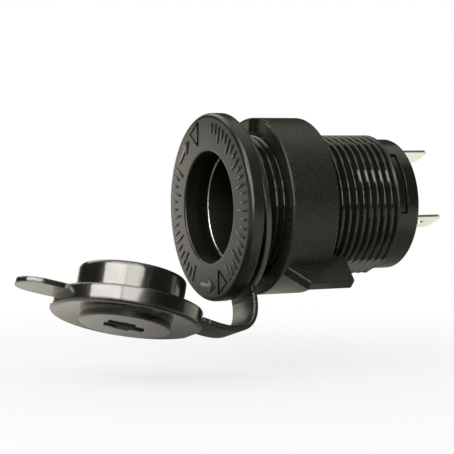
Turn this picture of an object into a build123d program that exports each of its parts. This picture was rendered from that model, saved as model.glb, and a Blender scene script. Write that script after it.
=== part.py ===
"""Panel-mount 12 volt accessory socket with a screw barrel, a winged nut and a tethered sealing cap.

Millimetres, +Z up. The socket's axis is the Y axis: the bezel faces -Y, the blade terminals point to +Y,
and Y = 0 is the bezel's rear seat, the plane that comes up to the panel. The cap hangs open below the
bezel on its strap.
"""
import os
from math import cos, radians, sin, sqrt, tan

from build123d import *

# Bezel and barrel
BEZEL_DIA = 36.8
BEZEL_THICK = 3.0
BEZEL_EDGE = 0.85
BEZEL_BACK_EDGE = 0.3
THREAD_DIA = 28.1
THREAD_LENGTH = 32.5
THREAD_PITCH = 1.6
THREAD_DEPTH = 0.62
THREAD_CREST = 0.5
THREAD_NECK = 1.9
STRIP_ACROSS = 26.6
TAIL_DIA = 26.4
TAIL_LENGTH = 4.8
TAIL_EDGE = 0.4
BODY_ROLL = 22.5

# Plug bore: the mouth in the moulding, then the metal sleeve
MOUTH_DIA = 21.9
MOUTH_DEPTH = 5.2
MOUTH_EDGE = 0.35
PLUG_BORE_DIA = 21.5
SLEEVE_WALL = 0.6
SLEEVE_DEPTH = 28.8
SLEEVE_CLEAR = 0.1
SLEEVE_STEP = 0.6
SLEEVE_STEP_DEPTH = 25.2
SLEEVE_CORNER = 0.6

# Contact stack at the sleeve's floor
BUTTON_DIA = 7.0
BUTTON_HEIGHT = 2.0
BUTTON_DOME = 1.2
RIVET_DIA = 3.0
RIVET_TAIL_DIA = 4.8
RIVET_TAIL_HEIGHT = 0.7
RIVET_TAIL_EDGE = 0.35
BUSH_DIA = 9.0
BUSH_FLANGE = 1.2
BUSH_EDGE = 0.3
SPIGOT_DIA = 5.0
WASHER_DIA = 9.2
WASHER_THICK = 1.0
PIN_CLEAR = 0.05

# Blade terminals
BLADE_WIDTH = 6.3
BLADE_THICK = 0.5
BLADE_OUT = 11.2
BLADE_TIP_CHAMFER = 0.9
BLADE_HOLE_DIA = 1.7
BLADE_HOLE_BACK = 3.6
NEGATIVE_BLADE_INSET = 1.75
NEGATIVE_FOOT_GAP = 0.45
POSITIVE_BLADE_Z = -4.0
EARTH_RIVET_DIA = 2.4
EARTH_HEAD_DIA = 4.2
EARTH_HEAD_HEIGHT = 0.6

# Rear cover, held by tongues in two windows of the tail
COVER_THICK = 2.2
COVER_RECESS = 0.4
COVER_CLEAR = 0.1
COVER_EDGE = 0.2
TAIL_WALL = 1.2
WINDOW_INSET = 0.5
WINDOW_ARC = 57.0
WINDOW_WIDTH = 1.6
TONGUE_CLEAR = 0.15
TONGUE_SINK = 0.4
LEG_WALL = 2.6
LEG_ARC = 60.0
BLADE_CLEAR = 0.2

# Mounting nut
NUT_DIA = 35.0
NUT_LENGTH = 10.2
NUT_GAP = 6.4
NUT_CLEAR = 0.08
NUT_EDGE = 0.45
NUT_TURN = 43.0
WING_THICK = 2.2
WING_REACH = 4.2
WING_START = 0.9
WING_SLOPE = 3.6
WING_BACK = 4.0
WING_TAIL_SLOPE = 0.4
WING_THREAD_GAP = 1.2
WING_CORNER = 0.5
WING_EDGE = 0.35
NOTCH_WIDTH = 6.9
NOTCH_DEPTH = 1.0
NOTCH_TURN = 123.6

# Tether: ring, strap and cap, all turned together about the barrel
TETHER_SPIN = 14.8
RING_DIA = 34.4
RING_CLEAR = 0.35
RING_FOLD_Z = 5.0
RING_LEAN = 5.0
STRAP_WIDTH = 9.5
STRAP_THICK = 1.1
TONGUE_LENGTH = 0.6
STRAP_LEAD_RING = 11.4
STRAP_LEAD_CAP = 2.2
STRAP_INSET = 0.4

# Sealing cap
CAP_SEAT_GAP = 0.3
FLANGE_DIA = 28.8
FLANGE_THICK = 3.5
FLANGE_EDGE = 0.6
FLANGE_BACK_EDGE = 0.3
FACE_DISH = 0.6
BOSS_DIA = 17.4
BOSS_HEIGHT = 1.6
BOSS_EDGE = 0.25
SKIRT_CLEAR = 0.27
SKIRT_LENGTH = 5.6
SKIRT_WALL = 1.3
SKIRT_TIP_EDGE = 0.75
SKIRT_EDGE = 0.35
CAP_FLOOR = 1.8
TAB_REACH = 22.2
TAB_WIDTH = 8.6
TAB_THICK = 1.0

# How the seated cap comes to hang open: swung down about a line inside the strap's bend
SWING_Y = -0.79
SWING_Z = -21.2
SWING_ANGLE = 74.9

# Places along Y and radii that several pieces share
FACE_Y = -BEZEL_THICK
SLEEVE_Y = FACE_Y + MOUTH_DEPTH
FLOOR_Y = SLEEVE_Y + SLEEVE_DEPTH
FLOOR_BACK_Y = FLOOR_Y + SLEEVE_WALL
FOOT_Y = FLOOR_BACK_Y + WASHER_THICK
TAIL_END_Y = THREAD_LENGTH + TAIL_LENGTH
COVER_BACK_Y = TAIL_END_Y - COVER_RECESS
COVER_FRONT_Y = COVER_BACK_Y - COVER_THICK
WINDOW_Y = THREAD_LENGTH + WINDOW_INSET
BLADE_TIP_Y = TAIL_END_Y + BLADE_OUT
SLEEVE_OUT_R = PLUG_BORE_DIA / 2 + SLEEVE_WALL
POCKET_R = SLEEVE_OUT_R + SLEEVE_CLEAR
STEP_Y = SLEEVE_Y + SLEEVE_STEP_DEPTH
EARTH_RIVET_Z = (BUSH_DIA / 2 + PLUG_BORE_DIA / 2 - SLEEVE_STEP) / 2
CHAMBER_R = TAIL_DIA / 2 - TAIL_WALL
NEGATIVE_BLADE_Z = CHAMBER_R - NEGATIVE_BLADE_INSET
COVER_R = CHAMBER_R - COVER_CLEAR
THREAD_R = THREAD_DIA / 2
NUT_R = NUT_DIA / 2
CAP_SEAT_Y = FACE_Y - CAP_SEAT_GAP
CAP_FACE_Y = CAP_SEAT_Y - FLANGE_THICK
SKIRT_R = PLUG_BORE_DIA / 2 - SKIRT_CLEAR
CAP_ROOT_R = sqrt((FLANGE_DIA / 2) ** 2 - (STRAP_WIDTH / 2) ** 2)

ROLL = Rot(0, -BODY_ROLL, 0)
TETHER = Rot(0, -TETHER_SPIN, 0)
OPENED = Pos(0, SWING_Y, SWING_Z) * Rot(SWING_ANGLE, 0, 0) * Pos(0, -SWING_Y, -SWING_Z)


def turned(*corners):
    """Revolves an outline of (radius, y) corners about Y. A third number rounds that corner."""
    outline = make_face(Polyline(*[corner[:2] for corner in corners], close=True))
    for radius, y, *rounding in corners:
        if rounding:
            vertex = outline.vertices().sort_by_distance((radius, y, 0))[0]
            outline = fillet(vertex, rounding[0])
    return revolve(outline, Axis.Y)


def disc(diameter, y0, y1, x=0, z=0):
    """Cylinder along Y from y0 to y1, its axis through (x, z)."""
    return Pos(x, (y0 + y1) / 2, z) * Rot(90, 0, 0) * Cylinder(diameter / 2, y1 - y0)


def arc_block(r0, r1, y0, y1, arc):
    """Stretch of a ring between two radii, centred on +X."""
    section = Pos((r0 + r1) / 2, (y0 + y1) / 2) * Rectangle(r1 - r0, y1 - y0)
    return Rot(0, -arc / 2, 0) * revolve(section, Axis.Y, revolution_arc=arc)


def both_sides(piece):
    """The piece and its twin half a turn about Y away."""
    return piece + Rot(0, 180, 0) * piece


def block(x0, x1, y0, y1, z0, z1):
    """Box between two corners."""
    return Pos((x0 + x1) / 2, (y0 + y1) / 2, (z0 + z1) / 2) * Box(x1 - x0, y1 - y0, z1 - z0)


def thread_grooves():
    """(radius, y) corners of the thread's grooves, one ring a turn, up to the crest at the rear shoulder."""
    half = (THREAD_PITCH - THREAD_CREST) / 2
    turns = int((THREAD_LENGTH - THREAD_NECK) / THREAD_PITCH)
    corners = []
    for turn in reversed(range(turns)):
        root_y = THREAD_LENGTH - THREAD_CREST - half - turn * THREAD_PITCH
        corners += [(THREAD_R, root_y - half), (THREAD_R - THREAD_DEPTH, root_y), (THREAD_R, root_y + half)]
    return corners


def make_socket_body():
    """Bezel, screw barrel with two smooth strips, and a tail with two windows, moulded in one."""
    body = turned(
        (MOUTH_DIA / 2, FACE_Y, MOUTH_EDGE),
        (BEZEL_DIA / 2, FACE_Y, BEZEL_EDGE),
        (BEZEL_DIA / 2, 0, BEZEL_BACK_EDGE),
        (THREAD_R, 0),
        *thread_grooves(),
        (THREAD_R, THREAD_LENGTH),
        (TAIL_DIA / 2, THREAD_LENGTH),
        (TAIL_DIA / 2, TAIL_END_Y, TAIL_EDGE),
        (CHAMBER_R, TAIL_END_Y),
        (CHAMBER_R, FLOOR_BACK_Y),
        (POCKET_R, FLOOR_BACK_Y),
        (POCKET_R, SLEEVE_Y),
        (MOUTH_DIA / 2, SLEEVE_Y),
    )
    strip = block(-THREAD_R, THREAD_R, 0, THREAD_LENGTH, STRIP_ACROSS / 2, THREAD_R)
    window = arc_block(COVER_R, TAIL_DIA / 2 + TAIL_EDGE, WINDOW_Y, WINDOW_Y + WINDOW_WIDTH, WINDOW_ARC)
    return ROLL * (body - both_sides(strip) - both_sides(window))


def make_contact_sleeve():
    """Drawn metal can, stepped in at its bottom: the negative contact, seated behind the mouth."""
    bore_r = PLUG_BORE_DIA / 2
    can = turned(
        (bore_r, SLEEVE_Y),
        (SLEEVE_OUT_R, SLEEVE_Y),
        (SLEEVE_OUT_R, STEP_Y),
        (SLEEVE_OUT_R - SLEEVE_STEP, STEP_Y + SLEEVE_STEP),
        (SLEEVE_OUT_R - SLEEVE_STEP, FLOOR_BACK_Y, SLEEVE_CORNER),
        (SPIGOT_DIA / 2 + PIN_CLEAR, FLOOR_BACK_Y),
        (SPIGOT_DIA / 2 + PIN_CLEAR, FLOOR_Y),
        (bore_r - SLEEVE_STEP, FLOOR_Y),
        (bore_r - SLEEVE_STEP, STEP_Y + SLEEVE_STEP),
        (bore_r, STEP_Y),
    )
    return ROLL * (can - disc(EARTH_RIVET_DIA, FLOOR_Y, FLOOR_BACK_Y, z=EARTH_RIVET_Z))


def make_centre_insulator():
    """Flanged bush that keeps the centre contact off the sleeve's floor."""
    return ROLL * turned(
        (RIVET_DIA / 2 + PIN_CLEAR, FLOOR_Y - BUSH_FLANGE),
        (BUSH_DIA / 2, FLOOR_Y - BUSH_FLANGE, BUSH_EDGE),
        (BUSH_DIA / 2, FLOOR_Y),
        (SPIGOT_DIA / 2, FLOOR_Y),
        (SPIGOT_DIA / 2, FOOT_Y),
        (RIVET_DIA / 2 + PIN_CLEAR, FOOT_Y),
    )


def make_insulating_washer():
    """Fibre washer behind the floor, under the positive terminal's foot."""
    return ROLL * turned(
        (SPIGOT_DIA / 2 + PIN_CLEAR, FLOOR_BACK_Y),
        (WASHER_DIA / 2, FLOOR_BACK_Y),
        (WASHER_DIA / 2, FOOT_Y),
        (SPIGOT_DIA / 2 + PIN_CLEAR, FOOT_Y),
    )


def make_centre_contact():
    """Positive contact: a domed button whose shank is upset behind the terminal's foot."""
    button_y = FLOOR_Y - BUSH_FLANGE - BUTTON_HEIGHT
    tail_y = FOOT_Y + BLADE_THICK
    return ROLL * turned(
        (0, button_y),
        (BUTTON_DIA / 2, button_y, BUTTON_DOME),
        (BUTTON_DIA / 2, FLOOR_Y - BUSH_FLANGE),
        (RIVET_DIA / 2, FLOOR_Y - BUSH_FLANGE),
        (RIVET_DIA / 2, tail_y),
        (RIVET_TAIL_DIA / 2, tail_y),
        (RIVET_TAIL_DIA / 2, tail_y + RIVET_TAIL_HEIGHT, RIVET_TAIL_EDGE),
        (0, tail_y + RIVET_TAIL_HEIGHT),
    )


def blade(z, y0):
    """Flat blade with cut corners and a latch hole near its tip, its middle plane at height z."""
    flat = block(-BLADE_WIDTH / 2, BLADE_WIDTH / 2, y0, BLADE_TIP_Y, z - BLADE_THICK / 2, z + BLADE_THICK / 2)
    corners = flat.edges().filter_by(Axis.Z).group_by(Axis.Y)[-1]
    hole = Pos(0, BLADE_TIP_Y - BLADE_HOLE_BACK, z) * Cylinder(BLADE_HOLE_DIA / 2, BLADE_THICK)
    return chamfer(corners, BLADE_TIP_CHAMFER) - hole


def make_positive_terminal():
    """Blade bent square from a foot that the centre contact clamps."""
    low = POSITIVE_BLADE_Z - BLADE_THICK / 2
    foot = block(-BLADE_WIDTH / 2, BLADE_WIDTH / 2, FOOT_Y, FOOT_Y + BLADE_THICK, low, BLADE_WIDTH / 2)
    hole = disc(RIVET_DIA + 2 * PIN_CLEAR, FOOT_Y, FOOT_Y + BLADE_THICK)
    return ROLL * (foot - hole + blade(POSITIVE_BLADE_Z, FOOT_Y))


def make_negative_terminal():
    """Blade bent square from a foot that is riveted to the sleeve's floor."""
    low = WASHER_DIA / 2 + NEGATIVE_FOOT_GAP
    high = NEGATIVE_BLADE_Z + BLADE_THICK / 2
    foot = block(-BLADE_WIDTH / 2, BLADE_WIDTH / 2, FLOOR_BACK_Y, FLOOR_BACK_Y + BLADE_THICK, low, high)
    hole = disc(EARTH_RIVET_DIA, FLOOR_BACK_Y, FLOOR_BACK_Y + BLADE_THICK, z=EARTH_RIVET_Z)
    return ROLL * (foot - hole + blade(NEGATIVE_BLADE_Z, FLOOR_BACK_Y))


def make_earth_rivet():
    """Rivet through the sleeve's floor and the negative terminal's foot."""
    back = FLOOR_BACK_Y + BLADE_THICK
    shank = disc(EARTH_RIVET_DIA - 2 * PIN_CLEAR, FLOOR_Y, back, z=EARTH_RIVET_Z)
    head = disc(EARTH_HEAD_DIA, FLOOR_Y - EARTH_HEAD_HEIGHT, FLOOR_Y, z=EARTH_RIVET_Z)
    tail = disc(EARTH_HEAD_DIA, back, back + EARTH_HEAD_HEIGHT, z=EARTH_RIVET_Z)
    return ROLL * (shank + head + tail)


def make_rear_cover():
    """Disc that closes the tail: two legs press on the sleeve and two tongues snap into the windows."""
    cover = turned(
        (0, COVER_FRONT_Y),
        (COVER_R, COVER_FRONT_Y),
        (COVER_R, COVER_BACK_Y, COVER_EDGE),
        (0, COVER_BACK_Y),
    )
    leg = arc_block(COVER_R - LEG_WALL, COVER_R, FLOOR_BACK_Y, COVER_FRONT_Y + COVER_THICK / 2, LEG_ARC)
    tongue_arc = WINDOW_ARC - 2 * TONGUE_CLEAR / radians(TAIL_DIA / 2)
    tongue = arc_block(COVER_R - LEG_WALL, TAIL_DIA / 2 - TONGUE_SINK, WINDOW_Y + TONGUE_CLEAR,
                       WINDOW_Y + WINDOW_WIDTH - TONGUE_CLEAR, tongue_arc)
    cover += both_sides(leg + tongue)
    half_width = BLADE_WIDTH / 2 + BLADE_CLEAR
    half_thick = BLADE_THICK / 2 + BLADE_CLEAR
    for z in (POSITIVE_BLADE_Z, NEGATIVE_BLADE_Z):
        cover -= block(-half_width, half_width, COVER_FRONT_Y, COVER_BACK_Y, z - half_thick, z + half_thick)
    return ROLL * cover


def make_mounting_nut():
    """Round nut with two flat wings that run on past its rear face, and two notches in its front."""
    front = NUT_GAP
    back = front + NUT_LENGTH
    bore_r = THREAD_R + NUT_CLEAR
    nut = turned(
        (bore_r, front, NUT_EDGE),
        (NUT_R, front, NUT_EDGE),
        (NUT_R, back, NUT_EDGE),
        (bore_r, back, NUT_EDGE),
    )
    root = THREAD_R + WING_THREAD_GAP
    rear = back + WING_BACK
    outline = make_face(Polyline(
        (root, front + WING_START + NUT_EDGE),
        (NUT_R, front + WING_START),
        (NUT_R + WING_REACH, front + WING_START + WING_SLOPE),
        (NUT_R + WING_REACH, rear),
        (root, rear + WING_TAIL_SLOPE),
        close=True,
    ))
    corners = outline.vertices().sort_by(Axis.X)[-2:]
    wing = extrude(fillet(corners, WING_CORNER), WING_THICK / 2, both=True)
    outer_edges = wing.faces().filter_by(Axis.Z).edges().filter_by(lambda e: e.center().X > NUT_R + NUT_EDGE)
    nut += both_sides(fillet(outer_edges, WING_EDGE))
    notch = block(bore_r, NUT_DIA, front, front + NOTCH_DEPTH, -NOTCH_WIDTH / 2, NOTCH_WIDTH / 2)
    nut -= Rot(0, -NOTCH_TURN, 0) * both_sides(notch)
    return Rot(0, NUT_TURN, 0) * nut


def ring_outline():
    """Side view of the ring on the YZ plane: flat on the bezel above the fold, leaning off it below."""
    lean = radians(RING_LEAN)
    down = Vector(sin(lean), -cos(lean))
    through = Vector(cos(lean), sin(lean)) * STRAP_THICK
    fold = Vector(0, RING_FOLD_Z)
    end = fold + down * ((RING_FOLD_Z + RING_DIA / 2) / cos(lean) + TONGUE_LENGTH)
    fold_back = Vector(STRAP_THICK, RING_FOLD_Z + STRAP_THICK * tan(lean / 2))
    corners = [(0, RING_DIA / 2), fold, end, end + through, fold_back, (STRAP_THICK, RING_DIA / 2)]
    return Plane.YZ * make_face(Polyline(*corners, close=True))


def ring_root_plane():
    """Plane of the ring tongue's end face, looking down the strap."""
    lean = radians(RING_LEAN)
    reach = (RING_FOLD_Z + RING_DIA / 2) / cos(lean) + TONGUE_LENGTH
    down = Vector(0, sin(lean), -cos(lean))
    middle = Vector(0, cos(lean), sin(lean)) * (STRAP_THICK / 2)
    return Plane(Vector(0, 0, RING_FOLD_Z) + down * reach + middle, x_dir=(1, 0, 0), z_dir=down)


def make_tether_ring():
    """Soft ring held on the barrel between bezel and panel, with the strap's root as a tongue."""
    hole = disc(THREAD_DIA + 2 * RING_CLEAR, -BEZEL_THICK, NUT_GAP)
    band = extrude(ring_outline(), RING_DIA / 2, both=True)
    ring = band & disc(RING_DIA, -BEZEL_THICK, NUT_GAP)
    tongue = extrude(ring_outline(), STRAP_WIDTH / 2, both=True)
    tongue &= block(-STRAP_WIDTH, STRAP_WIDTH, 0, NUT_GAP, -RING_DIA, 0)
    return TETHER * (ring + tongue - hole)


def cap_root_plane():
    """Plane of the flat on the hanging cap's flange where the strap grows out, looking out of the cap."""
    middle = CAP_SEAT_Y - STRAP_INSET - STRAP_THICK / 2
    seated = Plane((0, middle, -CAP_ROOT_R), x_dir=(1, 0, 0), z_dir=(0, 0, -1))
    return Plane(OPENED * seated.location)


def make_sealing_cap():
    """Soft cap: dished flange with a raised boss, a hollow skirt, a pull tab and a flat for the strap."""
    tip_y = CAP_SEAT_Y + SKIRT_LENGTH
    floor_y = CAP_FACE_Y + CAP_FLOOR
    dish_y = CAP_FACE_Y + FACE_DISH
    boss_y = dish_y - BOSS_HEIGHT
    cap = turned(
        (0, boss_y),
        (BOSS_DIA / 2, boss_y, BOSS_EDGE),
        (BOSS_DIA / 2, dish_y),
        (FLANGE_DIA / 2, CAP_FACE_Y, FLANGE_EDGE),
        (FLANGE_DIA / 2, CAP_SEAT_Y, FLANGE_BACK_EDGE),
        (SKIRT_R, CAP_SEAT_Y),
        (SKIRT_R, tip_y, SKIRT_TIP_EDGE),
        (SKIRT_R - SKIRT_WALL, tip_y, SKIRT_EDGE),
        (SKIRT_R - SKIRT_WALL, floor_y, SKIRT_EDGE),
        (0, floor_y),
    )
    seat = Plane.XZ.offset(-CAP_SEAT_Y)
    tab_length = TAB_REACH - SKIRT_R
    tab = Pos(0, SKIRT_R + tab_length / 2) * SlotOverall(tab_length, TAB_WIDTH, rotation=90)
    flat = block(-STRAP_WIDTH, STRAP_WIDTH, CAP_FACE_Y, CAP_SEAT_Y, -FLANGE_DIA, -CAP_ROOT_R)
    return TETHER * OPENED * (cap + extrude(seat * tab, TAB_THICK) - flat)


def make_tether_strap():
    """Flexible strap: one flat section swept from the ring's tongue round the bend to the cap's flat."""
    start = ring_root_plane()
    end = cap_root_plane()
    path = Bezier(
        start.origin,
        start.origin + start.z_dir * STRAP_LEAD_RING,
        end.origin + end.z_dir * STRAP_LEAD_CAP,
        end.origin,
    )
    return TETHER * sweep(start * Rectangle(STRAP_WIDTH, STRAP_THICK), path=path)


PIECES = {
    "socket_body": make_socket_body,
    "contact_sleeve": make_contact_sleeve,
    "centre_insulator": make_centre_insulator,
    "centre_contact": make_centre_contact,
    "insulating_washer": make_insulating_washer,
    "positive_terminal": make_positive_terminal,
    "negative_terminal": make_negative_terminal,
    "earth_rivet": make_earth_rivet,
    "rear_cover": make_rear_cover,
    "mounting_nut": make_mounting_nut,
    "tether_ring": make_tether_ring,
    "tether_strap": make_tether_strap,
    "sealing_cap": make_sealing_cap,
}

os.makedirs("parts", exist_ok=True)
for name, make in PIECES.items():
    export_step(make(), f"parts/{name}.step")
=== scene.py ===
# %% [markdown]
# # A panel-mount power socket, dressed for its picture
# The solids of the socket come from the CAD model as a fixed frame. This lesson adds what a solid model
# leaves out: the moulded signs, a strap made of many cross sections, a bright lip in the mouth, and the
# finishes.
# Everything is in metres. The socket's axis is Y, its bezel faces -Y and +Z is up.

# %% Load the frame
import math

import bmesh
import bpy
from mathutils import Matrix, Vector
from mathutils.geometry import interpolate_bezier


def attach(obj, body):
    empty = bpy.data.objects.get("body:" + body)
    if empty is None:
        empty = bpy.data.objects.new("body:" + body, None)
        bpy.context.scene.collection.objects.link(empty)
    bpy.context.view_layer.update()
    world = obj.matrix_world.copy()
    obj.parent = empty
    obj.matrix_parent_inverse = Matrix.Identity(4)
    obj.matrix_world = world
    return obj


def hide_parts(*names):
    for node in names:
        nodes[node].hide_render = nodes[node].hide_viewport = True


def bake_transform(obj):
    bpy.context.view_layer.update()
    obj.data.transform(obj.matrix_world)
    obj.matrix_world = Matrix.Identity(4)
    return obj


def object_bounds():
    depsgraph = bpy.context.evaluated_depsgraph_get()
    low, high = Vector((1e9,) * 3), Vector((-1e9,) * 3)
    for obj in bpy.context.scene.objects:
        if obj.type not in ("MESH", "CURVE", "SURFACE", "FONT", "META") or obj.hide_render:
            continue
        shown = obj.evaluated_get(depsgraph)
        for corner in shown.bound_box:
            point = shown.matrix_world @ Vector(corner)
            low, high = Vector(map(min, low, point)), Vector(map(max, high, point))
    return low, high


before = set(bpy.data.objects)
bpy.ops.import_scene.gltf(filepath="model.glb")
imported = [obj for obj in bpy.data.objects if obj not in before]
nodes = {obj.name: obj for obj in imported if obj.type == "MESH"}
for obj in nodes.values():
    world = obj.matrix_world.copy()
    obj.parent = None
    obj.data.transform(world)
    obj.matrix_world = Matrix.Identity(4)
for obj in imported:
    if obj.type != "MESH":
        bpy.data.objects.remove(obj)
cad_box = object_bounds()
scene = bpy.context.scene
print("CAD nodes:", ", ".join(sorted(nodes)))

# %% [markdown]
# ## The camera
# The photograph was taken with a long lens from the front right, almost level with the socket. A camera is
# best set before anything else, because every later choice is judged through it. Its place was worked out
# from the rims of the bezel, the nut and the barrel, which are circles whose ellipses tell the direction.

# %% Camera
AZIMUTH = math.radians(63.8)
ELEVATION = math.radians(3.22)
EYE = Vector((0.28689, -0.14003, 0.01405))
LENS = 129.29
SENSOR = 36


def direction(azimuth, elevation):
    """Unit vector from the object towards a place round it, azimuth 0 being in front of the bezel."""
    flat = math.cos(elevation)
    return Vector((math.sin(azimuth) * flat, -math.cos(azimuth) * flat, math.sin(elevation)))


camera = bpy.data.objects.new("camera", bpy.data.cameras.new("camera"))
scene.collection.objects.link(camera)
camera.location = EYE
camera.rotation_mode = "QUATERNION"
camera.rotation_quaternion = (-direction(AZIMUTH, ELEVATION)).to_track_quat("-Z", "Y")
camera.data.lens = LENS
camera.data.sensor_width = SENSOR
camera.data.clip_start = 0.01
camera.data.clip_end = 10
scene.camera = camera
scene.view_settings.view_transform = "Standard"
print("camera at", tuple(round(x, 4) for x in camera.location))

# %% [markdown]
# ## Helpers for finishes
# Every finish is a Principled shader with a little noise on Object coordinates, which stay with the piece.
# A number that is the same all over goes straight on the shader's socket. What varies, such as the grain of
# a moulding, comes from a texture, and its scale is written as the size of one grain in metres.

# %% Shader and grain


def finish(name, roughness=0.5, metallic=0.0, specular=0.5, coat=0.0, coat_roughness=0.1):
    """New material with its shader set. Gives the material, its nodes and links, and the shader."""
    material = bpy.data.materials.new(name)
    material.use_nodes = True
    tree = material.node_tree
    shader = tree.nodes["Principled BSDF"]
    shader.inputs["Roughness"].default_value = roughness
    shader.inputs["Metallic"].default_value = metallic
    shader.inputs["Specular IOR Level"].default_value = specular
    shader.inputs["Coat Weight"].default_value = coat
    shader.inputs["Coat Roughness"].default_value = coat_roughness
    return material, tree, shader


def speckle(tree, grain, detail=3.0, stretch=(1, 1, 1)):
    """Noise with grains of about that size in metres, drawn out along an axis by a stretch below 1."""
    place = tree.nodes.new("ShaderNodeTexCoord")
    mapping = tree.nodes.new("ShaderNodeMapping")
    mapping.inputs["Scale"].default_value = stretch
    noise = tree.nodes.new("ShaderNodeTexNoise")
    noise.inputs["Scale"].default_value = 1.0 / grain
    noise.inputs["Detail"].default_value = detail
    tree.links.new(place.outputs["Object"], mapping.inputs["Vector"])
    tree.links.new(mapping.outputs["Vector"], noise.inputs["Vector"])
    return noise.outputs["Fac"]


# %% [markdown]
# Three small helpers do the arithmetic. One stretches a span of values to another, one makes a value that
# changes along the socket's axis, and one joins two values.

# %% Values


def remap(tree, value, span, result, smooth=False):
    """A span of a value stretched to another one, and held beyond its ends."""
    node = tree.nodes.new("ShaderNodeMapRange")
    node.interpolation_type = "SMOOTHSTEP" if smooth else "LINEAR"
    node.inputs["From Min"].default_value, node.inputs["From Max"].default_value = span
    node.inputs["To Min"].default_value, node.inputs["To Max"].default_value = result
    tree.links.new(value, node.inputs["Value"])
    return node.outputs["Result"]


def along(tree, stretch, result):
    """Value that changes smoothly over a stretch of Y."""
    place = tree.nodes.new("ShaderNodeTexCoord")
    split = tree.nodes.new("ShaderNodeSeparateXYZ")
    tree.links.new(place.outputs["Object"], split.inputs["Vector"])
    return remap(tree, split.outputs["Y"], stretch, result, smooth=True)


def combine(tree, operation, first, second):
    """One value out of two."""
    node = tree.nodes.new("ShaderNodeMath")
    node.operation = operation
    tree.links.new(first, node.inputs[0])
    tree.links.new(second, node.inputs[1])
    return node.outputs[0]


# %% [markdown]
# The rest lead such values to the shader. Noise seldom leaves the middle of its range, so colour and gloss
# are spread over that part only. Ambient occlusion tells a hollow from an open place, and it paints shade
# into hollows by taking their shine away. The Bevel node shades a sharp edge as if it were rounded. A clear
# coat has a normal of its own, which has to get it too.

# %% Colour, gloss and relief
TINT_SPAN = (0.35, 0.65)
GLOSS_SPAN = (0.3, 0.7)
OPEN_SPAN = (0.66, 0.95)


def tint(tree, shader, fac, dark, light):
    """Base colour between two close tones."""
    ramp = tree.nodes.new("ShaderNodeValToRGB")
    for stop, position, tone in zip(ramp.color_ramp.elements, TINT_SPAN, (dark, light)):
        stop.position = position
        stop.color = (*tone, 1)
    tree.links.new(fac, ramp.inputs["Fac"])
    tree.links.new(ramp.outputs["Color"], shader.inputs["Base Color"])


def uneven_gloss(tree, shader, fac, low, high):
    """Roughness that wanders between two values."""
    tree.links.new(remap(tree, fac, GLOSS_SPAN, (low, high)), shader.inputs["Roughness"])


def paint_hollow_shade(tree, shader, reach, low, high):
    """Paints shade into hollows narrower than the reach, by taking the shine out of them."""
    near = tree.nodes.new("ShaderNodeAmbientOcclusion")
    near.only_local = True
    near.samples = 8
    near.inputs["Distance"].default_value = reach
    shine = remap(tree, near.outputs["AO"], OPEN_SPAN, (low, high))
    tree.links.new(shine, shader.inputs["Specular IOR Level"])


def relief(tree, shader, fac, depth, strength, edge=0.0001):
    """Bumps of that depth in metres, on a surface whose sharp edges shade as if rounded."""
    rounded = tree.nodes.new("ShaderNodeBevel")
    rounded.inputs["Radius"].default_value = edge
    bump = tree.nodes.new("ShaderNodeBump")
    bump.inputs["Distance"].default_value = depth
    bump.inputs["Strength"].default_value = strength
    tree.links.new(rounded.outputs["Normal"], bump.inputs["Normal"])
    tree.links.new(fac, bump.inputs["Height"])
    tree.links.new(bump.outputs["Normal"], shader.inputs["Normal"])
    tree.links.new(bump.outputs["Normal"], shader.inputs["Coat Normal"])


# %% [markdown]
# ## The mouldings' black
# Bezel, barrel and cover are a hard black plastic. Bezel and tail have a faint spark-eroded grain from the
# mould, so their shine is broad, while the thread between them comes out of the mould polished and glints:
# the roughness depends on the place along the axis. The flanks and roots of the thread get painted shade,
# as occlusion takes their shine away, and the crests shade as if rounded. The plain specular value stays
# for viewers that can't work out hollows.

# %% Body plastic
BEZEL_REAR = (-0.0005, 0.0005)
TAIL_FRONT = (0.0312, 0.0318)
BEZEL_ROUGH = 0.3
THREAD_ROUGH = 0.09
TAIL_ROUGH = 0.27
body_black, tree, shader = finish("body_black", specular=0.4)
grain = speckle(tree, grain=0.00035)
tint(tree, shader, grain, (0.0062, 0.0059, 0.004), (0.009, 0.0086, 0.006))
bezel_end = along(tree, BEZEL_REAR, (BEZEL_ROUGH, THREAD_ROUGH))
tail_start = along(tree, TAIL_FRONT, (THREAD_ROUGH, TAIL_ROUGH))
tree.links.new(combine(tree, "MAXIMUM", bezel_end, tail_start), shader.inputs["Roughness"])
# Painted shade: occlusion takes the shine off the thread's flanks and roots, so they stay dark.
paint_hollow_shade(tree, shader, reach=0.0009, low=0.02, high=0.42)
relief(tree, shader, grain, depth=0.00002, strength=0.15, edge=0.00026)
print("hard plastic:", body_black.name)

# %% [markdown]
# The nut comes from a coarser mould and sparkles a little, all but its front face, which is smooth. Both
# blacks are warm, never zero, because a black of nothing would swallow the form.

# %% Nut plastic
NUT_FRONT = 0.0064
NUT_CORNER = 0.0006
FRONT_GRAIN = 0.15
nut_black, tree, shader = finish("nut_black", specular=0.25)
grain = speckle(tree, grain=0.00026, detail=2)
tint(tree, shader, grain, (0.0095, 0.009, 0.0064), (0.019, 0.018, 0.0131))
uneven_gloss(tree, shader, grain, low=0.2, high=0.34)
behind_front = along(tree, (NUT_FRONT, NUT_FRONT + NUT_CORNER), (FRONT_GRAIN, 1.0))
coarse = combine(tree, "MULTIPLY", grain, behind_front)
relief(tree, shader, coarse, depth=0.00014, strength=0.6, edge=0.0003)
print("coarse plastic:", nut_black.name)

# %% [markdown]
# ## The cap's soft gloss
# Cap, strap and ring are a softer moulding from a polished mould. The cap mirrors windows almost sharply, so
# a clear coat lies over a rougher base, and a slow, very shallow wave makes the mirrored edges wander as they
# do on soft plastic. The strap is bent again and again, which dulls it to a satin without the coat, and the
# ring goes with it.

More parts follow.
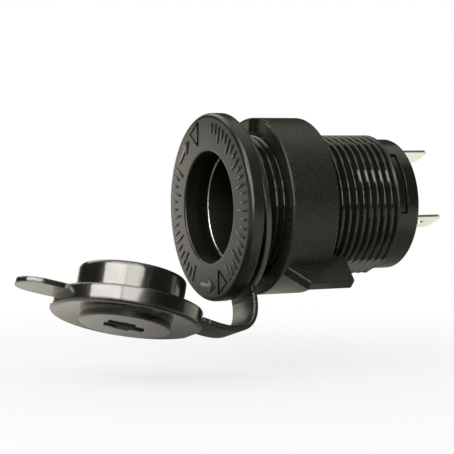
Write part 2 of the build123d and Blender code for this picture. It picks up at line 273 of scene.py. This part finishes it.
# %% Soft plastic
SOFT_DARK = (0.006, 0.0057, 0.0042)
SOFT_LIGHT = (0.0085, 0.0081, 0.006)
SOFT_FLECK = 0.0015
SOFT_PATCH = 0.0025
cap_gloss, tree, shader = finish("cap_gloss", coat=1.0, coat_roughness=0.06)
tint(tree, shader, speckle(tree, SOFT_FLECK), SOFT_DARK, SOFT_LIGHT)
uneven_gloss(tree, shader, speckle(tree, SOFT_PATCH), low=0.2, high=0.3)
wave = speckle(tree, grain=0.005, detail=1)
relief(tree, shader, wave, depth=0.00006, strength=0.3, edge=0.0006)

strap_satin, tree, shader = finish("strap_satin", specular=0.85)
tint(tree, shader, speckle(tree, SOFT_FLECK), SOFT_DARK, SOFT_LIGHT)
uneven_gloss(tree, shader, speckle(tree, SOFT_PATCH), low=0.3, high=0.38)
relief(tree, shader, speckle(tree, SOFT_PATCH), depth=0.00001, strength=0.1, edge=0.0005)
print("soft plastics:", cap_gloss.name, strap_satin.name)

# %% [markdown]
# ## Metals and insulation
# The blades are tinned, with rolling marks along their length. The sleeve is drawn from plated steel with a
# dull finish, and its colour is kept very dark as painted shade for the inside of the bore. The button is
# brass, and bush and washer are a pale fibre board. Rolling marks are noise that is drawn out along Y by a
# small scale on that axis.

# %% Metals
tin, tree, shader = finish("tin", metallic=1.0)
rolled = speckle(tree, grain=0.0003, detail=4, stretch=(1, 0.05, 1))
tint(tree, shader, rolled, (0.82, 0.82, 0.8), (0.92, 0.92, 0.9))
uneven_gloss(tree, shader, rolled, low=0.22, high=0.38)
relief(tree, shader, rolled, depth=0.00001, strength=0.25)

dull_shaded_steel, tree, shader = finish("dull_shaded_steel", metallic=1.0)
drawn = speckle(tree, grain=0.0004, detail=4, stretch=(1, 0.06, 1))
# Painted shade: the steel's colour is kept very dark, as for metal deep in the shaded bore.
tint(tree, shader, drawn, (0.13, 0.123, 0.105), (0.155, 0.147, 0.126))
uneven_gloss(tree, shader, drawn, low=0.34, high=0.4)
relief(tree, shader, drawn, depth=0.00001, strength=0.05)

brass, tree, shader = finish("brass", metallic=1.0)
turned = speckle(tree, grain=0.0006)
tint(tree, shader, turned, (0.6, 0.44, 0.2), (0.72, 0.55, 0.28))
uneven_gloss(tree, shader, turned, low=0.22, high=0.4)
print("metals:", tin.name, dull_shaded_steel.name, brass.name)

# %% Insulation
fibre, tree, shader = finish("fibre", roughness=0.75)
flecks = speckle(tree, grain=0.0005, detail=5)
tint(tree, shader, flecks, (0.36, 0.3, 0.21), (0.5, 0.43, 0.33))
relief(tree, shader, flecks, depth=0.00004, strength=0.4)
print("insulation:", fibre.name)

# %% [markdown]
# Each solid of the frame then gets its finish. Its mesh stays as it is, only the material slot changes.

# %% Finishes on the solids
FINISHES = {"socket_body": body_black, "rear_cover": body_black, "mounting_nut": nut_black,
            "sealing_cap": cap_gloss, "tether_strap": strap_satin, "tether_ring": strap_satin,
            "positive_terminal": tin, "negative_terminal": tin, "contact_sleeve": dull_shaded_steel,
            "centre_contact": brass, "earth_rivet": brass, "centre_insulator": fibre,
            "insulating_washer": fibre}
for name, material in FINISHES.items():
    nodes[name].data.materials.clear()
    nodes[name].data.materials.append(material)
print("finishes on", len(FINISHES), "of", len(nodes), "solids")

# %% [markdown]
# ## A helper for pieces
# A new piece is modelled in a bmesh, which is Blender's editable mesh in memory. When it is done it becomes
# an object at the origin, with smooth shading that breaks at sharp edges, and it rides on the body that
# carries it, so that it moves with that body in every pose.

# %% Piece helper


def make_piece(name, bm, body, material, sharp=32):
    """Turns a bmesh into a shown object that rides on a body."""
    mesh = bpy.data.meshes.new(name)
    bm.to_mesh(mesh)
    bm.free()
    mesh.shade_smooth()
    mesh.set_sharp_from_angle(angle=math.radians(sharp))
    piece = bpy.data.objects.new(name, mesh)
    scene.collection.objects.link(piece)
    mesh.materials.append(material)
    if body:
        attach(piece, body)
    print(name, len(mesh.polygons), "faces")
    return piece


# %% [markdown]
# ## The strap
# The strap is a flat strip of soft plastic that bends whenever the cap is opened. In CAD it is one stiff
# sweep. Here it becomes a piece with enough cross sections to bend and with rounded edges. Its route is the
# same curve, from the ring's tongue to the cap's flange, with both ends sunk a little into what holds them.

# %% Strap route
TETHER_TURN = math.radians(-14.8)
TETHER = Matrix.Rotation(TETHER_TURN, 4, "Y")
STRAP_SINK = 0.0003
STRAP_STEPS = 41
RING_PULL = 0.0114
CAP_PULL = 0.0022
ring_end = Vector((0, 0.00254245, -0.0177498))
ring_way = Vector((0, 0.087156, -0.996195))
cap_end = Vector((0, -0.00903471, -0.0225591))
cap_way = Vector((0, 0.965473, -0.260505))
handles = (ring_end + ring_way * RING_PULL, cap_end + cap_way * CAP_PULL)
curve = interpolate_bezier(ring_end, *handles, cap_end, STRAP_STEPS)
points = [ring_end - ring_way * STRAP_SINK, *curve, cap_end - cap_way * STRAP_SINK]


def section_place(point, way):
    """Place of a cross section: X across the strap, Z along it."""
    across = Vector((1, 0, 0))
    return Matrix.Translation(point) @ Matrix((across, way.cross(across), way)).transposed().to_4x4()


ways = [(b - a).normalized() for a, b in zip(points, points[1:])]
middle_ways = [(a + b).normalized() for a, b in zip(ways, ways[1:])]
places = [section_place(p, w) for p, w in zip(points, [ring_way, *middle_ways, -cap_way])]
print("strap route:", len(places), "sections")

# %% [markdown]
# The section starts as a flat rectangle whose corners are bevelled. It is extruded step by step along the
# route, turned a little at each step.

# %% Strap
STRAP_WIDTH = 0.0095
STRAP_THICK = 0.0011
STRAP_EDGE = 0.0003
strap_mesh = bmesh.new()
bmesh.ops.create_grid(strap_mesh, x_segments=1, y_segments=1, size=0.5,
                      matrix=Matrix.Diagonal((STRAP_WIDTH, STRAP_THICK, 1, 1)))
bmesh.ops.bevel(strap_mesh, geom=strap_mesh.verts[:], offset=STRAP_EDGE, segments=3, profile=0.5,
                affect="VERTICES", material=-1)
bmesh.ops.transform(strap_mesh, matrix=places[0], verts=strap_mesh.verts)
end_face = max(strap_mesh.faces, key=lambda f: len(f.verts))
for before, after in zip(places, places[1:]):
    grown = bmesh.ops.extrude_face_region(strap_mesh, geom=[end_face])
    end_face = next(g for g in grown["geom"] if isinstance(g, bmesh.types.BMFace))
    bmesh.ops.transform(strap_mesh, matrix=after @ before.inverted(), verts=end_face.verts)
bmesh.ops.recalc_face_normals(strap_mesh, faces=strap_mesh.faces)
bmesh.ops.transform(strap_mesh, matrix=TETHER, verts=strap_mesh.verts)
strap = make_piece("bending_strap", strap_mesh, None, strap_satin)
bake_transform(strap)
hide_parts("tether_strap")

# %% [markdown]
# ## Signs on the bezel
# Such a bezel carries raised moulded signs that tell which way it turns. Two outlined triangles and two
# arrows, opposite each other, are drawn here, with a dial of short ticks between them. A sign is a flat
# outline that is extruded off the face. Its foot is sunk a little into the bezel, as one moulding would be,
# and its top edge is bevelled, because a mould never leaves a knife edge.

# %% Sign helpers
FACE_Y = -0.003
SIGN_SINK = 0.0001
SIGN_HEIGHT = 0.00016
SIGN_EDGE = 0.00007


def raise_sign(bm, faces):
    """Extrudes flat faces lying in the bezel's face outwards, and bevels the edge round their tops."""
    grown = bmesh.ops.extrude_face_region(bm, geom=faces)["geom"]
    tops = [g for g in grown if isinstance(g, bmesh.types.BMFace)]
    top_verts = list({v for f in tops for v in f.verts})
    bmesh.ops.translate(bm, verts=top_verts, vec=(0, -SIGN_SINK - SIGN_HEIGHT, 0))
    rim = [e for f in tops for e in f.edges if sum(g in tops for g in e.link_faces) == 1]
    bmesh.ops.bevel(bm, geom=rim, offset=SIGN_EDGE, segments=2, profile=0.5, affect="EDGES", material=-1)


def flat_sign(bm, corners, turn=0.0):
    """Face on the bezel with corners (x, z), turned about the socket's axis."""
    spin = Matrix.Rotation(turn, 4, "Y")
    return bm.faces.new([bm.verts.new(spin @ Vector((x, FACE_Y + SIGN_SINK, z))) for x, z in corners])


# %% [markdown]
# The outlined triangle is a solid one with a smaller hole: inset makes a frame round its middle, and the
# middle face is deleted.

# %% Triangles
signs = bmesh.new()
TRIANGLE = [(0.0047, -0.0166), (0.0047, -0.0119), (0.0082, -0.0141)]
TRIANGLE_LINE = 0.00055
for turn in (0, math.pi):
    whole = flat_sign(signs, TRIANGLE, turn)
    inset = bmesh.ops.inset_region(signs, faces=[whole], thickness=TRIANGLE_LINE, use_boundary=True,
                                   use_even_offset=True)
    bmesh.ops.delete(signs, geom=[whole], context="FACES")
    raise_sign(signs, inset["faces"])
print("triangles:", len(signs.faces), "faces")

# %% [markdown]
# An arrow is a shaft and a head, drawn as one outline of seven corners along X and then turned to its place
# on the ring. The lower one points along the ring to its triangle, and the upper one the other way round.

# %% Arrows
ARROW_R = 0.01535
ARROW_TAIL = -0.0031
ARROW_NECK = 0.0006
ARROW_TIP = 0.0031
ARROW_SHAFT = 0.00045
ARROW_HEAD = 0.0014
UPPER_TURN = math.radians(-226)


def arrow_corners(way):
    """Corners of an arrow below the axis that points along +X, or along -X where way is -1."""
    sides = [(ARROW_TAIL, ARROW_SHAFT), (ARROW_NECK, ARROW_SHAFT), (ARROW_NECK, ARROW_HEAD)]
    below = [(x * way, -ARROW_R - half) for x, half in sides]
    above = [(x * way, -ARROW_R + half) for x, half in reversed(sides)]
    return [*below, (ARROW_TIP * way, -ARROW_R), *above]


for way, turn in ((1, 0), (-1, UPPER_TURN)):
    raise_sign(signs, [flat_sign(signs, arrow_corners(way), turn)])
print("with arrows:", len(signs.faces), "faces")

# %% [markdown]
# The ticks are thin bars along the radius, every third one longer, on the two stretches between the signs.
# A stretch is given by the angle of its first tick and the number of its ticks.

# %% Ticks
TICK_OUTER = 0.0166
TICK_LONG = 0.0035
TICK_SHORT = 0.0021
TICK_HALF = 0.00024
TICK_STEP = 6
RIGHT_TICKS = (-54, 24)
LEFT_TICKS = (154, 16)
for first, count in (RIGHT_TICKS, LEFT_TICKS):
    for i in range(count):
        inner = TICK_OUTER - (TICK_SHORT if i % 3 else TICK_LONG)
        bar = [(inner, -TICK_HALF), (TICK_OUTER, -TICK_HALF), (TICK_OUTER, TICK_HALF), (inner, TICK_HALF)]
        raise_sign(signs, [flat_sign(signs, bar, -math.radians(first + i * TICK_STEP))])
bmesh.ops.recalc_face_normals(signs, faces=signs.faces)
make_piece("bezel_signs", signs, "socket", body_black)

# %% [markdown]
# ## The pictogram on the cap
# The cap's raised middle carries a small sign in relief. A plug is drawn here: a body, two pins and a cord,
# each a bar with its middle and its size across and up. The sign is made where the cap sits when it is
# closed, and is then moved as the CAD model moves the cap: swung down about the bend of the strap and turned
# with the tether. That way its own sizes stay plain.

# %% Pictogram
BOSS_Y = -0.0078
MARK_HEIGHT = 0.00028
MARK_EDGE = 0.0001
PIN_SIZE = (0.0009, 0.0026)
PLUG_BODY = ((0.0, 0.00005), (0.0042, 0.003))
PLUG_PINS = (((-0.0012, 0.0024), PIN_SIZE), ((0.0012, 0.0024), PIN_SIZE))
PLUG_CORD = ((0.0, -0.0024), (0.0012, 0.0028))
mark = bmesh.new()
for (x, z), (wide, tall) in (PLUG_BODY, *PLUG_PINS, PLUG_CORD):
    place = Matrix.Translation((x, BOSS_Y, z)) @ Matrix.Diagonal((wide, 2 * MARK_HEIGHT, tall, 1))
    bmesh.ops.create_cube(mark, size=1, matrix=place)
bmesh.ops.bevel(mark, geom=mark.edges[:], offset=MARK_EDGE, segments=2, profile=0.5, affect="EDGES",
                material=-1)
print("pictogram:", len(mark.faces), "faces")

# %% Pictogram on the open cap
SWING = Vector((0, -0.00079, -0.0212))
CAP_ANGLE = math.radians(74.9)
OPENED = Matrix.Translation(SWING) @ Matrix.Rotation(CAP_ANGLE, 4, "X") @ Matrix.Translation(-SWING)
bmesh.ops.transform(mark, matrix=TETHER @ OPENED, verts=mark.verts)
mark_black, tree, shader = finish("mark_black", roughness=0.6, specular=0.2)
tint(tree, shader, speckle(tree, grain=0.0006), (0.006, 0.0055, 0.0045), (0.009, 0.0085, 0.007))
make_piece("cap_pictogram", mark, "cap", mark_black)

# %% [markdown]
# ## The sleeve's lip
# The metal sleeve ends in a rolled lip just behind the plastic mouth. It is thin, but it is the one bright
# line in the dark opening. A small circle spun about the socket's axis makes it, and the seam where the spin
# meets its start is merged.

# %% Sleeve lip
LIP_R = 0.01079
LIP_Y = 0.0022
LIP_THICK = 0.00032
LIP_CORNERS = 10
LIP_STEPS = 96
MERGE = 1e-6
lip = bmesh.new()
stand = Matrix.Translation((LIP_R, LIP_Y, 0))
bmesh.ops.create_circle(lip, cap_ends=False, segments=LIP_CORNERS, radius=LIP_THICK / 2, matrix=stand)
bmesh.ops.spin(lip, geom=lip.edges[:] + lip.verts[:], cent=(0, 0, 0), axis=(0, 1, 0),
               angle=2 * math.pi, steps=LIP_STEPS, use_merge=True)
bmesh.ops.remove_doubles(lip, verts=lip.verts, dist=MERGE)
bmesh.ops.recalc_face_normals(lip, faces=lip.faces)
make_piece("sleeve_lip", lip, "socket", tin)

# %% [markdown]
# ## The studio
# The socket was pictured on white. A black product shows its form only through what it mirrors, so the
# studio is planned as reflections. Two helpers tell what a ray is for: whether it shows a surface, by itself
# or in a mirror, and whether it sees the white paper plainly or, in a mirror, a little warmer.

# %% Studio helpers
PAPER_WHITE = (1, 1, 1, 1)
PAPER_WARM = (1, 0.97, 0.82, 1)


def seen_rays(tree):
    """1 for rays that show a surface: from the camera, or by way of a mirror or a clear piece."""
    path = tree.nodes.new("ShaderNodeLightPath")
    direct = combine(tree, "MAXIMUM", path.outputs["Is Camera Ray"], path.outputs["Is Glossy Ray"])
    return combine(tree, "MAXIMUM", direct, path.outputs["Is Transmission Ray"])


def paper(tree):
    """White to the camera, and faintly warm in mirrors, as the room's light was."""
    path = tree.nodes.new("ShaderNodeLightPath")
    mix = tree.nodes.new("ShaderNodeMix")
    mix.data_type = "RGBA"
    mix.inputs["A"].default_value = PAPER_WARM
    mix.inputs["B"].default_value = PAPER_WHITE
    tree.links.new(path.outputs["Is Camera Ray"], mix.inputs["Factor"])
    return mix.outputs["Result"]


def stage_card(name, matrix, material):
    """Flat card of the studio, one metre square before its matrix."""
    bm = bmesh.new()
    bmesh.ops.create_grid(bm, x_segments=1, y_segments=1, size=0.5, matrix=matrix)
    mesh = bpy.data.meshes.new(name)
    bm.to_mesh(mesh)
    bm.free()
    card = bpy.data.objects.new(name, mesh)
    scene.collection.objects.link(card)
    mesh.materials.append(material)
    return card


# %% [markdown]
# The floor comes first. It is white paper: a matt white that takes the soft shadow near the object, and that
# turns into plain even white farther off, so that paper and background meet without a line. It lies low
# enough for the cap to swing down to its stop, which takes the cap about 8 mm lower than in the photograph.

# %% Floor
CAP_DROP = 0.0083
FLOOR_GAP = 0.0004
FLOOR_Z = cad_box[0][2] - CAP_DROP - FLOOR_GAP
FLOOR_SIZE = 8
FADE_SPAN = (0.04, 0.14)
PLAIN_SHARE = (0.78, 1.0)
white_floor = bpy.data.materials.new("white_floor")
white_floor.use_nodes = True
tree = white_floor.node_tree
tree.nodes.clear()
place = tree.nodes.new("ShaderNodeTexCoord")
length = tree.nodes.new("ShaderNodeVectorMath")
length.operation = "LENGTH"
tree.links.new(place.outputs["Object"], length.inputs[0])
plain = remap(tree, length.outputs["Value"], FADE_SPAN, PLAIN_SHARE)
matt = tree.nodes.new("ShaderNodeBsdfDiffuse")
matt.inputs["Color"].default_value = (0.85, 0.85, 0.85, 1)
bright = tree.nodes.new("ShaderNodeEmission")
tree.links.new(paper(tree), bright.inputs["Color"])
mix = tree.nodes.new("ShaderNodeMixShader")
out = tree.nodes.new("ShaderNodeOutputMaterial")
tree.links.new(combine(tree, "MULTIPLY", plain, seen_rays(tree)), mix.inputs["Fac"])
tree.links.new(matt.outputs[0], mix.inputs[1])
tree.links.new(bright.outputs[0], mix.inputs[2])
tree.links.new(mix.outputs[0], out.inputs["Surface"])
spread = Matrix.Diagonal((FLOOR_SIZE, FLOOR_SIZE, 1, 1))
stage_card("floor", Matrix.Translation((0, 0, FLOOR_Z)) @ spread, white_floor)
print("floor at", round(FLOOR_Z, 4))

# %% [markdown]
# The room above is white to the camera. What the plastic mirrors is a room that is white near the floor and
# dark higher up, because black mouldings need something dark to mirror or they turn grey. The light that
# falls on matt surfaces from all round is weak, as the windows do most of the work.

# %% World
HORIZON = (-0.02, 0.14)
LOW_TO_HIGH = (1.0, 0.05)
ALL_ROUND = 0.35
world = bpy.data.worlds.new("studio")
scene.world = world
world.use_nodes = True
tree = world.node_tree
tree.nodes.clear()
place = tree.nodes.new("ShaderNodeTexCoord")
height = tree.nodes.new("ShaderNodeSeparateXYZ")
tree.links.new(place.outputs["Generated"], height.inputs["Vector"])
sky = remap(tree, height.outputs["Z"], HORIZON, LOW_TO_HIGH)
path = tree.nodes.new("ShaderNodeLightPath")
shown = combine(tree, "MAXIMUM", sky, path.outputs["Is Camera Ray"])
seen = tree.nodes.new("ShaderNodeBackground")
tree.links.new(shown, seen.inputs["Strength"])
tree.links.new(paper(tree), seen.inputs["Color"])
soft = tree.nodes.new("ShaderNodeBackground")
soft.inputs["Strength"].default_value = ALL_ROUND
mix = tree.nodes.new("ShaderNodeMixShader")
out = tree.nodes.new("ShaderNodeOutputWorld")
tree.links.new(seen_rays(tree), mix.inputs["Fac"])
tree.links.new(soft.outputs[0], mix.inputs[1])
tree.links.new(seen.outputs[0], mix.inputs[2])
tree.links.new(mix.outputs[0], out.inputs["Surface"])
print("world:", world.name)

# %% [markdown]
# Two windows of light stand side by side above the right front, with a narrow bar between them. They make
# the bright pair of patches on the cap. Each is a flat lamp, placed by the directions that the cap mirrors
# into the camera: the width of a lamp follows from the span of azimuths it has to fill at its distance.

# %% Window lights
CAP_MIDDLE = Vector((0.0055, -0.0228, -0.018))
WINDOW_COLOUR = (1, 0.96, 0.9)


def softbox(name, azimuths, elevation, tall, distance, power):
    """Rectangular lamp over a span of azimuths and so many degrees tall, seen from the hanging cap."""
    low, high = azimuths
    middle = math.radians((low + high) / 2)
    flat = distance * math.cos(math.radians(elevation))
    lamp = bpy.data.lights.new(name, "AREA")
    lamp.shape = "RECTANGLE"
    lamp.size = 2 * flat * math.tan(math.radians(high - low) / 2)
    lamp.size_y = 2 * distance * math.tan(math.radians(tall) / 2)
    lamp.energy = power
    lamp.color = WINDOW_COLOUR
    placed = bpy.data.objects.new(name, lamp)
    scene.collection.objects.link(placed)
    way = direction(middle, math.radians(elevation))
    placed.location = CAP_MIDDLE + way * distance
    placed.rotation_mode = "QUATERNION"
    placed.rotation_quaternion = (-way).to_track_quat("-Z", "Y")
    print(name, round(lamp.size, 3), "by", round(lamp.size_y, 3))


softbox("window_left", azimuths=(4, 58), elevation=36, tall=13, distance=0.5, power=1.7)
softbox("window_right", azimuths=(60, 101), elevation=36, tall=14, distance=0.5, power=1.05)

# %% [markdown]
# Cards do the rest, as in a product studio, and only reflections see them. A card is as bright as its glow,
# and a dark one is a card with hardly any. It stands in a direction from the object, or from another middle,
# and faces back to it.

# %% Card helpers
CARD_COLOUR = (1, 0.97, 0.84, 1)


def glow(name, strength):
    """Even light off a card."""
    material = bpy.data.materials.new(name)
    material.use_nodes = True
    tree = material.node_tree
    tree.nodes.clear()
    light = tree.nodes.new("ShaderNodeEmission")
    light.inputs["Color"].default_value = CARD_COLOUR
    light.inputs["Strength"].default_value = strength
    out = tree.nodes.new("ShaderNodeOutputMaterial")
    tree.links.new(light.outputs[0], out.inputs["Surface"])
    return material


def mirrored_card(name, matrix, material):
    """A card that is seen only in reflections."""
    card = stage_card(name, matrix, material)
    card.visible_camera = False
    card.visible_diffuse = False
    card.visible_shadow = False


def side_card(name, azimuth, elevation, distance, wide, tall, strength, middle=Vector((0, 0, 0))):
    """Card in a direction, in degrees, that faces the object or another middle."""
    way = direction(math.radians(azimuth), math.radians(elevation))
    turn = (-way).to_track_quat("Z", "Y").to_matrix().to_4x4()
    place = Matrix.Translation(middle + way * distance) @ turn @ Matrix.Diagonal((wide, tall, 1, 1))
    mirrored_card(name, place, glow(name, strength))


# %% [markdown]
# A dark card on the right keeps nut and tail black. On the left, a small bright one lights that side of the
# bezel's face and a dark one keeps the rest of it black. Overhead, one draws the lines along the crests of
# the thread, another the upper rims, and a pale ceiling turns the tops of nut and tail grey. A low bright
# card makes the glints on the side of the thread. The cap would mirror it too, so a small dark flag stands
# before the cap.

# %% Side cards
BEZEL_SIDE = Vector((0, -0.03, -0.002))
side_card("dark_right", azimuth=130, elevation=16, distance=0.4, wide=0.5, tall=0.4, strength=0.02)
side_card("bright_left", azimuth=-90, elevation=0, distance=0.11, wide=0.06, tall=0.04, strength=2.0,
          middle=BEZEL_SIDE)
side_card("dark_left", azimuth=-52, elevation=2, distance=0.3, wide=0.2, tall=0.16, strength=0.03)
side_card("bright_top", azimuth=52, elevation=62, distance=0.6, wide=0.6, tall=0.36, strength=5.0)
side_card("bright_left_top", azimuth=-72, elevation=40, distance=0.5, wide=0.4, tall=0.26, strength=2.5)
side_card("ceiling", azimuth=-120, elevation=66, distance=0.6, wide=0.9, tall=0.5, strength=0.9)
side_card("bright_low", azimuth=72, elevation=13, distance=0.5, wide=0.22, tall=0.19, strength=12.0)
side_card("dark_flag", azimuth=72, elevation=12, distance=0.06, wide=0.04, tall=0.02, strength=0.05,
          middle=CAP_MIDDLE)

# %% [markdown]
# Dark sheets lie under the object, seen only in reflections, and paint shade into the white paper that its
# lower sides mirror. The one under the cap fades out towards the front, so the painted shade on the cap's
# face goes from light to dark without an edge. The others paint shade on the rim of the cap's flange, the
# underside of the tail and the lower part of the bezel's face.

# %% Painted shade under the object
MAT_GAP = 0.0003
MAT_Z = cad_box[0][2] - MAT_GAP
MAT_LIFT = 0.0001
CAP_STRETCH = (-0.05, -0.005)


def painted_shade_sheet(name, middle, size, material, lift=0.0):
    """Dark sheet of painted shade, seen only in reflections, that lies level below the object."""
    place = Matrix.Translation((*middle, MAT_Z + lift)) @ Matrix.Diagonal((*size, 1, 1))
    mirrored_card(name, place, material)


# Each sheet paints shade into the floor that the object's lower sides mirror.
fading_shade = glow("painted_shade_cap", 1.0)
tree = fading_shade.node_tree
tree.links.new(along(tree, CAP_STRETCH, (1.0, 0.18)), tree.nodes["Emission"].inputs["Strength"])
painted_shade_sheet("painted_shade_cap", (0, -0.0225), (0.07, 0.065), fading_shade)
painted_shade_sheet("painted_shade_lip", (0.045, -0.03), (0.05, 0.07), glow("painted_shade_lip", 0.06), lift=MAT_LIFT)
painted_shade_sheet("painted_shade_tail", (0, 0.04), (0.07, 0.036), glow("painted_shade_tail", 0.38))
painted_shade_sheet("painted_shade_front", (-0.075, -0.042), (0.08, 0.05), glow("painted_shade_front", 0.22))
print("mats at", round(MAT_Z, 4))
